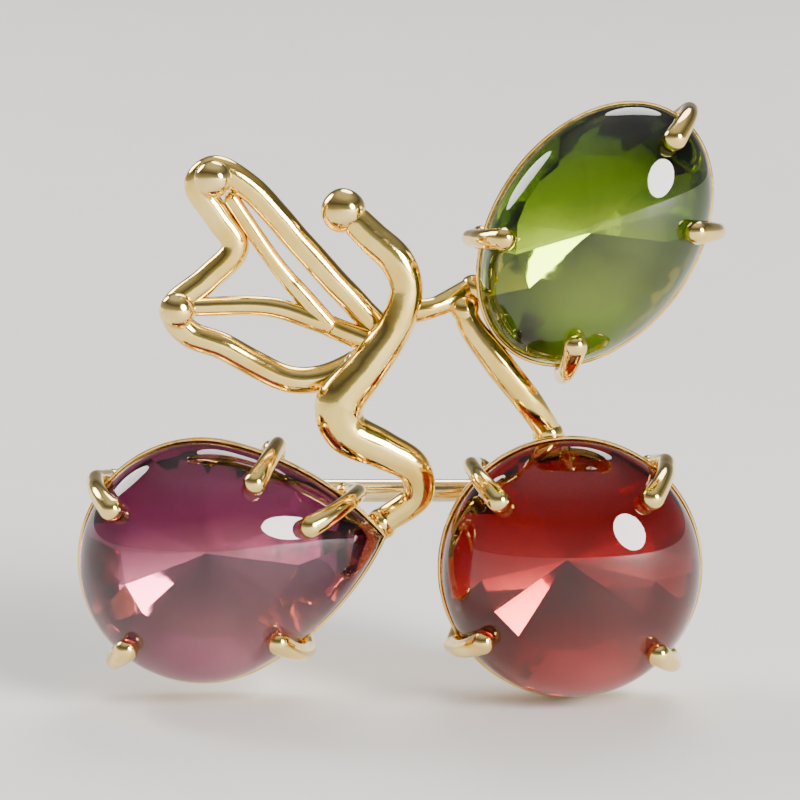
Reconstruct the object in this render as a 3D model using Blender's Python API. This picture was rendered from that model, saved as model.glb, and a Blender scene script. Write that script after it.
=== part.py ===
"""A small gold-tone fruit-sprig brooch: two domed fruit stones and a green leaf stone in claw cups,
an openwork wire leaf, and a riveted pin that closes in a roll-over safety catch.

Frame: the brooch stands as it is worn. -Y faces the viewer, +X is to the viewer's right, +Z is up.
The origin is on the closed pin stem's axis, midway between the hinge rivet and the middle of the catch.
Lengths below are in millimetres and become metres through MM.
"""

import math

import bmesh
import bpy
from mathutils import Matrix, Vector

MM = 0.001

# ---- driving dimensions (millimetres) ----
PLAY = 0.05  # the gap left between pieces that are soldered or rest on each other
CUP_BACK_Y = -1.9  # flat back of the stone cups
CUP_RIM_Y = -3.8  # rim that the stones rest on
CUP_WALL = 0.6
CUP_FLOOR = 0.4
RIM_OUT = 0.12  # how far the cup's rim stands out beyond the stone
# the cup's outside: share of its height, share of the grown outline
CUP_SIDE = ((0.0, 0.87), (0.15, 0.91), (0.55, 0.97), (0.9, 0.985), (1.0, 1.0))
GIRDLE = 0.25  # height of a stone's straight edge
LEDGE_Y = CUP_RIM_Y - PLAY  # underside of the stones' edges
PAVILION = ((1.3, 0.3), (1.05, 0.52), (0.6, 0.72))  # depth behind the ledge, share of outline
CLAW_R = 0.28
LEAF_WIRE_R = 0.42
VEIN_R = 0.28
STEM_R = 0.42
BRANCH_R = 0.5
ROUND_SEGMENTS = 32  # sides of a turned piece
WIRE_SIDES = 10

# ---- the stones: outline, centre (x, z), turn about Y, dome height, claw angles from the long axis ----
PEAR = {
    "radius": 3.7,
    "tip": 5.6,  # centre of the round end to the point
    "side_radius": 9.0,
    "centre": (-6.1, -1.6),
    "turn": 8.0,
    "dome": 2.7,
    "claws": (14.0, 48.0, 134.0, 220.0, 312.0),
}
ROUND = {
    "radius": 3.95,
    "centre": (5.2, -1.8),
    "turn": 0.0,
    "dome": 2.9,
    "claws": (48.0, 134.0, 214.0, 318.0),
}
OVAL = {
    "half_length": 4.25,
    "half_width": 3.0,
    "centre": (5.85, 8.39),
    "turn": 55.0,
    "dome": 2.3,
    "claws": (358.0, 128.0, 202.0, 308.0),
}

# ---- routes of the wires: (x, y, z) ----
LEAF_EDGE = (
    (-0.48, -3.05, 5.11),
    (-1.25, -3.15, 6.12),
    (-2.03, -3.3, 6.96),
    (-2.68, -3.35, 7.7),
    (-3.18, -3.4, 8.25),
    (-3.75, -3.5, 8.93),
    (-4.55, -3.65, 9.78),
    (-5.55, -3.8, 10.36),
    (-6.12, -3.75, 9.87),
    (-5.55, -3.6, 8.93),
    (-5.02, -3.5, 7.98),
    (-5.87, -3.6, 7.05),
    (-6.87, -3.8, 6.18),
    (-6.45, -3.75, 5.41),
    (-5.43, -3.6, 4.99),
    (-4.48, -3.45, 4.45),
    (-3.46, -3.35, 3.97),
    (-2.45, -3.2, 3.97),
    (-1.43, -3.05, 4.39),
)
LEAF_MIDRIB = ((-1.85, -3.2, 5.45), (-2.6, -3.3, 5.75), (-4.1, -3.45, 6.2), (-5.55, -3.65, 6.25))
LEAF_VEIN = ((-3.1, -3.4, 6.65), (-3.45, -3.45, 7.05), (-4.05, -3.6, 7.85), (-4.6, -3.7, 8.65))
MIDRIB_R = 0.34
LEAF_BEADS = {"tip": (-5.6, -4.68, 10.05), "side": (-6.7, -4.72, 6.12)}
BEAD_R = 0.5
BRANCH_BEAD = (-1.73, -3.95, 9.11)
BRANCH_BEAD_R = 0.62
BRANCH = (
    (-0.85, -4.0, 8.3),
    (-0.12, -4.0, 7.6),
    (0.18, -4.0, 6.7),
    (-0.18, -4.05, 5.59),
    (-1.01, -4.15, 4.39),
    (-1.85, -4.2, 3.3),
    (-1.61, -4.1, 2.42),
    (-0.54, -3.95, 1.85),
    (0.38, -3.75, 1.27),
    (0.5, -3.45, 0.35),
)
BRANCH_WIDTHS = (1.0, 1.05, 1.0, 1.05, 1.25, 1.5, 1.4, 1.2, 1.05, 0.95, 0.85)
BRANCH_ANGLE = 2.0  # where it meets the pear's cup, from the long axis
STEM_ROUND = ((2.1, -3.65, 5.6), (3.04, -3.75, 4.39), (3.9, -3.6, 3.3))
STEM_ROUND_WIDTHS = (0.95, 1.1, 1.05, 0.95)
STEM_ROUND_ANGLE = 99.0
STEM_OVAL_START = (1.05, -3.8, 6.2)
STEM_OVAL_R = 0.33
STEM_OVAL_ANGLE = 151.0
STEM_END_SHARE = 0.66  # of the cup's height, where the stems meet it

# ---- pin joint, on the back of the pear's cup ----
HINGE_X = -5.5
FOOT_Y = CUP_BACK_Y + PLAY
EAR_GAP_HALF = 0.52
EAR_OUT_HALF = 1.05
EAR_R = 0.8
BRACKET_FLOOR_Y = -1.02
RIVET_R = 0.3
RIVET_HOLE_R = 0.335
RIVET_HEAD_R = 0.52
EYE_R = 0.74
EYE_HOLE_R = 0.36
EYE_HALF_HEIGHT = 0.46
HEEL_R = 1.12  # the eye's stop heel, which meets the bracket's floor when the pin is wide open
HEEL_ANGLE = 128.0  # from the stem, about the rivet
HEEL_SPREAD = 26.0
PIN_R = 0.375
PIN_TIP_X = 7.6

# ---- safety catch, on the back of the round stone's cup ----
CATCH_X = 5.5
CATCH_LENGTH = 2.0
CATCH_FOOT_HALF = 0.8
HOUSING_R = 1.5
HOUSING_BORE_R = 1.04
MOUTH_HALF_ANGLE = 68.0
BARREL_R = 1.0
FLANGE_R = 1.38
FLANGE_THICK = 0.25
SLOT_HALF = 0.47
LEVER_ANGLE = -53.0  # from the mouth's middle; the lever points down while the catch is open
LEVER_R = 2.1
LEVER_HALF_THICK = 0.22
LEVER_HALF_WIDTH = 0.5


# ---------------------------------------------------------------- materials
def material(name, colour, metallic, roughness, transmission=0.0):
    """A Principled material."""
    made = bpy.data.materials.new(name)
    made.use_nodes = True
    shader = made.node_tree.nodes["Principled BSDF"]
    shader.inputs["Base Color"].default_value = (*colour, 1.0)
    shader.inputs["Metallic"].default_value = metallic
    shader.inputs["Roughness"].default_value = roughness
    shader.inputs["Transmission Weight"].default_value = transmission
    return made


def make_materials():
    return {
        "gold_cast": material("gold_cast", (0.83, 0.58, 0.20), 1.0, 0.22),
        "gold_wire": material("gold_wire", (0.90, 0.68, 0.29), 1.0, 0.15),
        "pin_steel": material("pin_steel", (0.86, 0.74, 0.45), 1.0, 0.2),
        "amethyst": material("amethyst", (0.28, 0.04, 0.22), 0.0, 0.05, 0.6),
        "garnet": material("garnet", (0.32, 0.015, 0.05), 0.0, 0.05, 0.6),
        "peridot": material("peridot", (0.06, 0.20, 0.01), 0.0, 0.05, 0.6),
    }


# ---------------------------------------------------------------- mesh helpers
def finish_mesh(name, bm, finish):
    """Turns a bmesh in millimetres into a closed, smooth-shaded mesh object in metres."""
    bmesh.ops.recalc_face_normals(bm, faces=bm.faces)
    bmesh.ops.transform(bm, matrix=Matrix.Scale(MM, 4), verts=bm.verts)
    mesh = bpy.data.meshes.new(name)
    bm.to_mesh(mesh)
    bm.free()
    mesh.shade_smooth()
    mesh.set_sharp_from_angle(angle=math.radians(35))
    mesh.materials.append(finish)
    made = bpy.data.objects.new(name, mesh)
    bpy.context.scene.collection.objects.link(made)
    return made


def skinned(rings, closed=False, shift=0):
    """A bmesh over rings of equal length, closed by a face at each end or joined into a loop."""
    bm = bmesh.new()
    loops = [[bm.verts.new(point) for point in ring] for ring in rings]
    count = len(rings[0])
    pairs = list(zip(loops, loops[1:]))
    if closed:
        pairs.append((loops[-1], [loops[0][(i + shift) % count] for i in range(count)]))
    for lower, upper in pairs:
        for i in range(count):
            j = (i + 1) % count
            bm.faces.new((lower[i], lower[j], upper[j], upper[i]))
    if not closed:
        bm.faces.new(list(reversed(loops[0])))
        bm.faces.new(loops[-1])
    return bm


def prism(outline, axis, half):
    """A bmesh of a flat outline, drawn out by half its length each way along 'X' or 'Z'."""
    ends = []
    for reach in (-half, half):
        if axis == "X":
            ends.append([Vector((reach, u, v)) for u, v in outline])
        else:
            ends.append([Vector((u, v, reach)) for u, v in outline])
    return skinned(ends)


def turned(profile, axis):
    """A bmesh of the (radius, height) profile spun about the axis 'X' or 'Z'; its ends lie on the axis."""
    bm = bmesh.new()
    points = []
    for radius, height in profile:
        point = (height, radius, 0.0) if axis == "X" else (radius, 0.0, height)
        points.append(bm.verts.new(point))
    edges = [bm.edges.new(pair) for pair in zip(points, points[1:])]
    direction = (1, 0, 0) if axis == "X" else (0, 0, 1)
    bmesh.ops.spin(
        bm,
        geom=points + edges,
        cent=(0, 0, 0),
        axis=direction,
        angle=math.tau,
        steps=ROUND_SEGMENTS,
        use_merge=True,
    )
    bmesh.ops.remove_doubles(bm, verts=bm.verts, dist=0.001)
    return bm


def arc(centre, radius, start, end, steps):
    """Points along an arc, angles in degrees, as (u, v) pairs."""
    angles = [math.radians(start + (end - start) * i / steps) for i in range(steps + 1)]
    return [(centre[0] + radius * math.cos(a), centre[1] + radius * math.sin(a)) for a in angles]


def smooth_route(points, per_span, closed=False):
    """Points along a Catmull-Rom curve through the given ones."""
    knots = [Vector(point) for point in points]
    count = len(knots)
    spans = count if closed else count - 1
    route = []
    for i in range(spans):
        if closed:
            a, b, c, d = (knots[(i + k) % count] for k in (-1, 0, 1, 2))
        else:
            b, c = knots[i], knots[i + 1]
            a = knots[i - 1] if i else 2 * b - c
            d = knots[i + 2] if i + 2 < count else 2 * c - b
        for k in range(per_span):
            t = k / per_span
            route.append(
                0.5
                * (
                    2 * b
                    + (c - a) * t
                    + (2 * a - 5 * b + 4 * c - d) * t**2
                    + (3 * b - a - 3 * c + d) * t**3
                )
            )
    if not closed:
        route.append(knots[-1])
    return route


def wire(name, points, radius, finish, widths=(1.0, 1.0), closed=False):
    """A round wire along the points; an open one has rounded ends. Widths are spread along its length."""
    count = len(points)
    tangents = []
    for i in range(count):
        after = points[(i + 1) % count] if closed or i + 1 < count else points[i]
        before = points[i - 1] if closed or i else points[i]
        tangents.append((after - before).normalized())
    rings = []
    side = tangents[0].orthogonal().normalized()
    for i, (point, tangent) in enumerate(zip(points, tangents)):
        side = (side - tangent * side.dot(tangent)).normalized()
        other = tangent.cross(side)
        place = i / (count - 1) * (len(widths) - 1)
        step = min(int(place), len(widths) - 2)
        width = radius * (widths[step] + (widths[step + 1] - widths[step]) * (place - step))
        turns = [math.tau * k / WIRE_SIDES for k in range(WIRE_SIDES)]
        spokes = [side * math.cos(t) + other * math.sin(t) for t in turns]
        if not closed and i in (0, count - 1):
            outward = -tangent if i == 0 else tangent
            cap = []
            for rise in (0, 35, 65):
                lift = math.radians(rise)
                centre = point + outward * width * math.sin(lift)
                cap.append([centre + spoke * width * math.cos(lift) for spoke in spokes])
            rings += reversed(cap) if i == 0 else cap
        else:
            rings.append([point + spoke * width for spoke in spokes])
    return finish_mesh(name, skinned(rings, closed, twist(side, tangents) if closed else 0), finish)


def twist(side, tangents):
    """How many sides the last ring of a closed wire is turned from its first."""
    first = tangents[0].orthogonal().normalized()
    side = (side - tangents[0] * side.dot(tangents[0])).normalized()
    turn = math.atan2(first.cross(side).dot(tangents[0]), first.dot(side))
    return round(turn / math.tau * WIRE_SIDES)


def boolean(target, helper, operation):
    """Cuts the helper from the target, or joins it on, and hides the helper."""
    step = target.modifiers.new(operation.lower() + "_" + helper.name, "BOOLEAN")
    step.operation = operation
    step.solver = "EXACT"
    step.object = helper
    helper.hide_render = True
    helper.display_type = "WIRE"


# ---------------------------------------------------------------- stone outlines
def outline_radius(stone, angle, grow=0.0):
    """Distance from the stone's centre to its edge, grown by an offset, at an angle from its long axis."""
    if "half_length" in stone:
        a, b = stone["half_length"] + grow, stone["half_width"] + grow
        return a * b / math.hypot(b * math.cos(angle), a * math.sin(angle))
    radius = stone["radius"] + grow
    if "tip" not in stone:
        return radius
    side = stone["side_radius"]
    reach, back = stone["tip"], stone["radius"] - side
    tangent = math.acos((reach**2 + back**2 - side**2) / (2 * reach * back))
    bearing = abs(math.remainder(angle, math.tau))
    if bearing >= tangent:
        return radius
    along = back * math.cos(tangent - bearing)
    return along + math.sqrt(along**2 - back**2 + (side + grow) ** 2)


def edge_point(stone, angle, y, grow=0.0, scale=1.0):
    """A point on the grown and scaled outline, in the brooch's frame."""
    reach = outline_radius(stone, angle, grow) * scale
    bearing = angle + math.radians(stone["turn"])
    x, z = stone["centre"]
    return Vector((x + reach * math.cos(bearing), y, z + reach * math.sin(bearing)))


def ring(stone, y, grow=0.0, scale=1.0, segments=ROUND_SEGMENTS):
    return [edge_point(stone, math.tau * i / segments, y, grow, scale) for i in range(segments)]


def dome_point(stone, angle, rise):
    """A point on the dome; rise is 0 at the girdle and a quarter turn at the top."""
    top = LEDGE_Y - GIRDLE - stone["dome"] * math.sin(rise)
    return edge_point(stone, angle, top, scale=math.cos(rise))


def dome_normal(stone, angle, rise):
    step = 0.01
    across = dome_point(stone, angle + step, rise) - dome_point(stone, angle - step, rise)
    up = dome_point(stone, angle, rise + step) - dome_point(stone, angle, rise - step)
    normal = across.cross(up).normalized()
    x, z = stone["centre"]
    outwards = dome_point(stone, angle, rise) - Vector((x, LEDGE_Y, z))
    return normal if normal.dot(outwards) > 0 else -normal


# ---------------------------------------------------------------- settings
def make_stone(name, stone, finish):
    """A domed stone with a flat ledge under its edge and a cone-shaped back."""
    rings = [ring(stone, LEDGE_Y + depth, scale=share) for depth, share in PAVILION]
    rings.append(ring(stone, LEDGE_Y, grow=-CUP_WALL - 0.08))
    rings.append(ring(stone, LEDGE_Y))
    for rise in (0, 13, 27, 42, 58, 76):
        angle = math.radians(rise)
        depth = LEDGE_Y - GIRDLE - stone["dome"] * math.sin(angle)
        rings.append(ring(stone, depth, scale=math.cos(angle)))
    return finish_mesh(name, skinned(rings), finish)


def cup_side(stone, angle, share, off=0.0):
    """A point on the cup's outside at a share of its height, moved out by an offset."""
    shares = [level for level, scale in CUP_SIDE]
    step = max(i for i, level in enumerate(shares) if level <= share and i < len(shares) - 1)
    (low, narrow), (high, wide) = CUP_SIDE[step], CUP_SIDE[step + 1]
    scale = narrow + (wide - narrow) * (share - low) / (high - low)
    depth = CUP_BACK_Y + (CUP_RIM_Y - CUP_BACK_Y) * share
    return edge_point(stone, angle, depth, grow=RIM_OUT, scale=scale) + outward(stone, angle) * off


def outward(stone, angle):
    """The direction straight out from the stone's edge."""
    away = dome_normal(stone, angle, 0.02)
    return Vector((away.x, 0.0, away.z)).normalized()


def make_cup(name, stone, finish):
    """A closed cup with a flat back; the stone's edge rests on its rim."""
    angles = [math.tau * i / ROUND_SEGMENTS for i in range(ROUND_SEGMENTS)]
    rings = [[cup_side(stone, angle, share) for angle in angles] for share, scale in CUP_SIDE]
    rings.append(ring(stone, CUP_RIM_Y, grow=-CUP_WALL))
    rings.append(ring(stone, CUP_RIM_Y + 0.75, grow=-CUP_WALL, scale=0.92))
    rings.append(ring(stone, CUP_BACK_Y - CUP_FLOOR, grow=-CUP_WALL, scale=0.7))
    return finish_mesh(name, skinned(rings), finish)


def make_claw(name, stone, degrees, finish):
    """A claw wire up the outside of the cup, bent over the edge of the stone."""
    angle = math.radians(degrees)
    off = CLAW_R + PLAY
    points = [cup_side(stone, angle, share, off) for share in (0.17, 0.4, 0.7, 0.97)]
    for rise in (6, 17, 28, 38):
        lift = math.radians(rise)
        points.append(dome_point(stone, angle, lift) + dome_normal(stone, angle, lift) * off)
    return wire(name, smooth_route(points, 2), CLAW_R, finish, widths=(1.0, 0.95, 0.95, 1.0, 1.1))


def make_settings(finishes):
    made = []
    gems = (("pear", PEAR, "amethyst"), ("round", ROUND, "garnet"), ("oval", OVAL, "peridot"))
    for name, stone, gem in gems:
        made.append(make_stone(f"{name}_stone", stone, finishes[gem]))
        made.append(make_cup(f"{name}_cup", stone, finishes["gold_cast"]))
        for number, degrees in enumerate(stone["claws"], 1):
            made.append(make_claw(f"{name}_claw_{number}", stone, degrees, finishes["gold_wire"]))
    return made


# ---------------------------------------------------------------- wire leaf, stems
def make_bead(name, place, radius, finish):
    bm = bmesh.new()
    bmesh.ops.create_uvsphere(bm, u_segments=14, v_segments=9, radius=radius)
    bmesh.ops.translate(bm, vec=Vector(place), verts=bm.verts)
    return finish_mesh(name, bm, finish)


def make_sprig(finishes):
    """The wire leaf with its veins and end beads, the branch, and the stems of the two other stones."""
    gold = finishes["gold_wire"]
    leaf_edge = smooth_route(LEAF_EDGE, 4, closed=True)
    made = [wire("leaf_edge", leaf_edge, LEAF_WIRE_R, gold, closed=True)]
    made.append(wire("leaf_midrib", smooth_route(LEAF_MIDRIB, 4), MIDRIB_R, gold, (1.0, 0.85)))
    made.append(wire("leaf_vein", smooth_route(LEAF_VEIN, 4), VEIN_R, gold, (1.0, 0.85)))
    for name, place in LEAF_BEADS.items():
        made.append(make_bead(f"leaf_bead_{name}", place, BEAD_R, gold))
    made.append(make_bead("branch_bead", BRANCH_BEAD, BRANCH_BEAD_R, gold))
    ends = (
        ("branch", PEAR, BRANCH, BRANCH_ANGLE, BRANCH_R, BRANCH_WIDTHS),
        ("stem_round", ROUND, STEM_ROUND, STEM_ROUND_ANGLE, STEM_R, STEM_ROUND_WIDTHS),
        ("stem_oval", OVAL, (STEM_OVAL_START,), STEM_OVAL_ANGLE, STEM_OVAL_R, (1.0, 1.0)),
    )
    for name, stone, route, degrees, radius, widths in ends:
        end = cup_side(stone, math.radians(degrees), STEM_END_SHARE, PLAY + radius * widths[-1])
        made.append(wire(name, smooth_route([*route, end], 3), radius, gold, widths))
    return made


# ---------------------------------------------------------------- pin joint
def rod_cutter(name, radius, finish):
    """A cutter for a round hole along the rivet's line."""
    hole = finish_mesh(name, turned([(0, -2), (radius, -2), (radius, 2), (0, 2)], "Z"), finish)
    hole.location.x = HINGE_X * MM
    return hole


def make_hinge_bracket(finishes):
    """A U-shaped bracket: a floor on the cup and two ears with the rivet's hole."""
    gold = finishes["gold_cast"]
    side = [(EAR_R, FOOT_Y)] + arc((0, 0), EAR_R, 0, 180, 12) + [(-EAR_R, FOOT_Y)]
    bracket = finish_mesh("hinge_bracket", prism(side, "Z", EAR_OUT_HALF), gold)
    gap = [(-2, BRACKET_FLOOR_Y), (2, BRACKET_FLOOR_Y), (2, 2), (-2, 2)]
    slot = finish_mesh("ear_slot_cutter", prism(gap, "Z", EAR_GAP_HALF), gold)
    for piece in (bracket, slot):
        piece.location.x = HINGE_X * MM
    boolean(bracket, slot, "DIFFERENCE")
    boolean(bracket, rod_cutter("ear_hole_cutter", RIVET_HOLE_R, gold), "DIFFERENCE")
    return bracket


def make_hinge_rivet(finishes):
    """The rivet through both ears and the pin's eye, with a domed head at each end."""
    shoulder, top = EAR_OUT_HALF + 0.02, EAR_OUT_HALF + 0.28
    half = [(RIVET_R, shoulder), (RIVET_HEAD_R, shoulder), (RIVET_HEAD_R * 0.8, top - 0.08), (0, top)]
    profile = [(radius, -height) for radius, height in reversed(half)] + half
    rivet = finish_mesh("hinge_rivet", turned(profile, "Z"), finishes["gold_wire"])
    rivet.location.x = HINGE_X * MM
    return rivet


def make_pin_stem(finishes):
    """The pin: an eye with a stop heel, and a straight stem with a long tapered point."""
    steel = finishes["pin_steel"]
    heel = arc((0, 0), HEEL_R, HEEL_ANGLE - HEEL_SPREAD / 2, HEEL_ANGLE + HEEL_SPREAD / 2, 3)
    eye_side = arc((0, 0), EYE_R, HEEL_ANGLE + 62, HEEL_ANGLE - 62 + 360, 22)
    pin = finish_mesh("pin_stem", prism(heel + eye_side, "Z", EYE_HALF_HEIGHT), steel)
    tip = PIN_TIP_X - HINGE_X
    profile = [
        (0, 0.5),
        (PIN_R, 0.5),
        (PIN_R, tip - 3.4),
        (PIN_R * 0.86, tip - 2.2),
        (PIN_R * 0.5, tip - 0.8),
        (0.06, tip),
        (0, tip),
    ]
    shaft = finish_mesh("pin_shaft", turned(profile, "X"), steel)
    for piece in (pin, shaft):
        piece.location.x = HINGE_X * MM
    boolean(pin, shaft, "UNION")
    boolean(pin, rod_cutter("eye_hole_cutter", EYE_HOLE_R, steel), "DIFFERENCE")
    return pin


# ---------------------------------------------------------------- safety catch
def make_catch_housing(finishes):
    """A C-shaped sleeve on a foot; its mouth faces away from the brooch."""
    meet = math.degrees(math.asin(CATCH_FOOT_HALF / HOUSING_R))
    outline = arc((0, 0), HOUSING_R, MOUTH_HALF_ANGLE, 180 - meet, 8)
    outline += [(FOOT_Y, CATCH_FOOT_HALF), (FOOT_Y, -CATCH_FOOT_HALF)]
    outline += arc((0, 0), HOUSING_R, 180 + meet, 360 - MOUTH_HALF_ANGLE, 8)
    outline += arc((0, 0), HOUSING_BORE_R, 360 - MOUTH_HALF_ANGLE, MOUTH_HALF_ANGLE, 24)
    housing = finish_mesh("catch_housing", prism(outline, "X", CATCH_LENGTH / 2), finishes["gold_cast"])
    housing.location.x = CATCH_X * MM
    return housing


def make_catch_barrel(finishes):
    """The turning barrel: flanged at both ends, slotted for the pin, with a thumb lever."""
    gold = finishes["gold_wire"]
    half = CATCH_LENGTH / 2 + PLAY
    side = [(FLANGE_R, half + FLANGE_THICK), (FLANGE_R, half), (BARREL_R, half)]
    profile = [(0, -half - FLANGE_THICK)] + [(radius, -height) for radius, height in side]
    profile += list(reversed(side)) + [(0, half + FLANGE_THICK)]
    barrel = finish_mesh("catch_barrel", turned(profile, "X"), gold)
    end, thick = LEVER_R - LEVER_HALF_THICK, LEVER_HALF_THICK
    tongue = [(0.6, -thick)] + arc((end, 0), thick, -90, 90, 6) + [(0.6, thick)]
    turn = math.radians(LEVER_ANGLE)
    across, up = math.cos(turn), math.sin(turn)
    tilted = [(y * across - z * up, y * up + z * across) for y, z in tongue]
    lever = finish_mesh("catch_lever", prism(tilted, "X", LEVER_HALF_WIDTH), gold)
    channel = [(3, SLOT_HALF)] + arc((0, 0), SLOT_HALF, 90, 270, 14) + [(3, -SLOT_HALF)]
    slot = finish_mesh("pin_slot_cutter", prism(channel, "X", 3), gold)
    for piece in (barrel, lever, slot):
        piece.location.x = CATCH_X * MM
    boolean(barrel, lever, "UNION")
    boolean(barrel, slot, "DIFFERENCE")
    return barrel


# ---------------------------------------------------------------- assembly
def carry(name, point, pieces):
    """An empty at the point that carries the pieces, which keep their places."""
    empty = bpy.data.objects.new(name, None)
    empty.location = Vector(point) * MM
    bpy.context.scene.collection.objects.link(empty)
    bpy.context.view_layer.update()
    for piece in pieces:
        piece.parent = empty
        piece.matrix_parent_inverse = empty.matrix_world.inverted()
    return empty


def main():
    for old in list(bpy.data.objects):
        bpy.data.objects.remove(old)
    finishes = make_materials()
    fixed = make_settings(finishes) + make_sprig(finishes)
    fixed += [make_hinge_bracket(finishes), make_hinge_rivet(finishes)]
    fixed.append(make_catch_housing(finishes))
    carry("brooch", (0, 0, 0), fixed)
    carry("pin_axis", (HINGE_X, 0, 0), [make_pin_stem(finishes)])
    carry("catch_axis", (CATCH_X, 0, 0), [make_catch_barrel(finishes)])


main()
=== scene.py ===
"""Looks of the small fruit-sprig brooch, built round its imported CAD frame.

Lengths are in millimetres until a mesh is finished, when MM turns them into the frame's metres.
The brooch stands as worn: -Y is the front, +X the viewer's right, +Z up; the origin is on the pin.
"""

import math
import bmesh
import bpy
from mathutils import Matrix, Vector


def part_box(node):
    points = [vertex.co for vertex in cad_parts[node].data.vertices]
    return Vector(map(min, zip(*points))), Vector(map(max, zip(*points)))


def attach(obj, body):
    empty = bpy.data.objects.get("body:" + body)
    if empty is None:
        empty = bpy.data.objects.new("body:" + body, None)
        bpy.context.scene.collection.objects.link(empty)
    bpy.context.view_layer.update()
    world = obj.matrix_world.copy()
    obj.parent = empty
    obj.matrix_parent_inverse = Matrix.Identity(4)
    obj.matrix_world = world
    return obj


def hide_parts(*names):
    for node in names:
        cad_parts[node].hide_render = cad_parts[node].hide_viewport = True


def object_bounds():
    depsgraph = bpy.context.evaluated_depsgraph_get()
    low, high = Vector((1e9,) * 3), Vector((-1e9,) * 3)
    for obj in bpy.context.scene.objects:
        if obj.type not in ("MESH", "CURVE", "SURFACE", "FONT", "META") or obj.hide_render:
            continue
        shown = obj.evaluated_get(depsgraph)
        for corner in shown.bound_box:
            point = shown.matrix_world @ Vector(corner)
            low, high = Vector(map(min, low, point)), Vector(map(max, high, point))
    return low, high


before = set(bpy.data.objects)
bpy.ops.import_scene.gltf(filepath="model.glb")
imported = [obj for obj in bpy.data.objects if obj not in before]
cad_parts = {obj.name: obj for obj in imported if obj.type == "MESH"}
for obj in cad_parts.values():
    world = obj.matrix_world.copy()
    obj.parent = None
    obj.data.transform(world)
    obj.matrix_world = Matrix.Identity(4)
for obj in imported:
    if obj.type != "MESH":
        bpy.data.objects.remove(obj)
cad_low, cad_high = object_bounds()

MM = 0.001

# ---- what the frame gives ----
CUP_BACK_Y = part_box("pear_cup")[1][1] / MM
CUP_RIM_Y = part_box("pear_cup")[0][1] / MM
HINGE_X = (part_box("hinge_rivet")[0][0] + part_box("hinge_rivet")[1][0]) / 2 / MM
CATCH_X = (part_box("catch_housing")[0][0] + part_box("catch_housing")[1][0]) / 2 / MM
PIN_TIP_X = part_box("pin_stem")[1][0] / MM

# ---- stones and their cups; turns and claw angles in degrees, from each stone's long axis ----
PEAR = {
    "radius": 3.7,
    "tip": 5.6,
    "side_radius": 9.0,
    "centre": (-6.1, -1.6),
    "turn": 8.0,
    "dome": 2.7,
    "claws": (14.0, 48.0, 134.0, 220.0, 312.0),
}
ROUND = {
    "radius": 3.95,
    "centre": (5.2, -1.8),
    "turn": 0.0,
    "dome": 2.9,
    "claws": (48.0, 134.0, 214.0, 318.0),
}
OVAL = {
    "half_length": 4.25,
    "half_width": 3.0,
    "centre": (5.85, 8.39),
    "turn": 55.0,
    "dome": 2.3,
    "claws": (358.0, 128.0, 202.0, 308.0),
}
# each stone and its glass
STONES = {"pear": (PEAR, "amethyst"), "round": (ROUND, "garnet"), "oval": (OVAL, "peridot")}
LEDGE_Y = CUP_RIM_Y - 0.05  # underside of the stones' edges
GIRDLE = 0.25
GIRDLE_RINGS = ((LEDGE_Y, -0.06), (LEDGE_Y - 0.05, 0.0), (LEDGE_Y - GIRDLE + 0.04, 0.0))  # y, growth
DOME_PARTS = 26  # equal steps of rise from the girdle to the top
TIP_ROUNDING = 0.85  # how far the pear's dome turns into a round one at its top
TIP_WINDOW = 36.0  # degrees over which its ridge toward the tip is smoothed
TIP_SAMPLES = 4  # readings of the outline to each side over that window
NEAR_GIRDLE = 0.02  # rise on the dome, in radians, where it still faces almost straight out
FACETS = 16
PER_FACET = 8  # dome segments over one facet of the stone's back
RING_STEPS = FACETS * PER_FACET
FACET_RINGS = ((0.2, 0.86, 0.0), (0.92, 0.5, 0.5))  # depth behind the ledge, share of outline, offset
CULET_DEPTH = 1.5
RIM_OUT = 0.12  # how far the cup stands out round the stone
CUP_BACK = ((0.0, 0.75), (0.03, 0.765), (0.03, 0.79), (0.0, 0.805))  # a pressed ring in the back
CUP_SIDE = (  # share of the cup's height, share of its outline
    (0.0, 0.862),
    (0.04, 0.876),
    (0.15, 0.91),
    (0.38, 0.950),
    (0.42, 0.942),
    (0.47, 0.942),
    (0.51, 0.966),
    (0.86, 0.984),
    (0.9, 0.996),
    (1.0, 1.0),
)
LIP_Y = LEDGE_Y - 0.12
SEAT_WALL = 0.6
CUP_INSIDE = (  # y, growth and scale of each ring, over the lip and down to the floor under the stone
    (LIP_Y + 0.03, RIM_OUT, 1.0),
    (LIP_Y, RIM_OUT * 0.75, 1.0),
    (LIP_Y, 0.045, 1.0),
    (LIP_Y + 0.04, 0.015, 1.0),
    (CUP_RIM_Y, 0.012, 1.0),
    (CUP_RIM_Y, -SEAT_WALL, 1.0),
    (CUP_RIM_Y + 0.75, -SEAT_WALL, 0.92),
    (CUP_BACK_Y - 0.22, -SEAT_WALL, 0.7),
)
CLAW_R = 0.28
# thickness along each wire, as shares of its radius, evenly spread from start to end
CLAW_WIDTHS = (0.98, 0.98, 0.96, 0.94, 0.94, 0.98, 1.1, 1.28)
CLAW_FOOT = (0.17, 0.4, 0.7, 0.97)  # shares of the cup's height
CLAW_FREE = 0.02  # between the claw's foot and the cup
CLAW_OVER = ((6, 0.03), (17, 0.02), (28, 0.0), (37, -0.03))  # rise on the dome in degrees, gap

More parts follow.
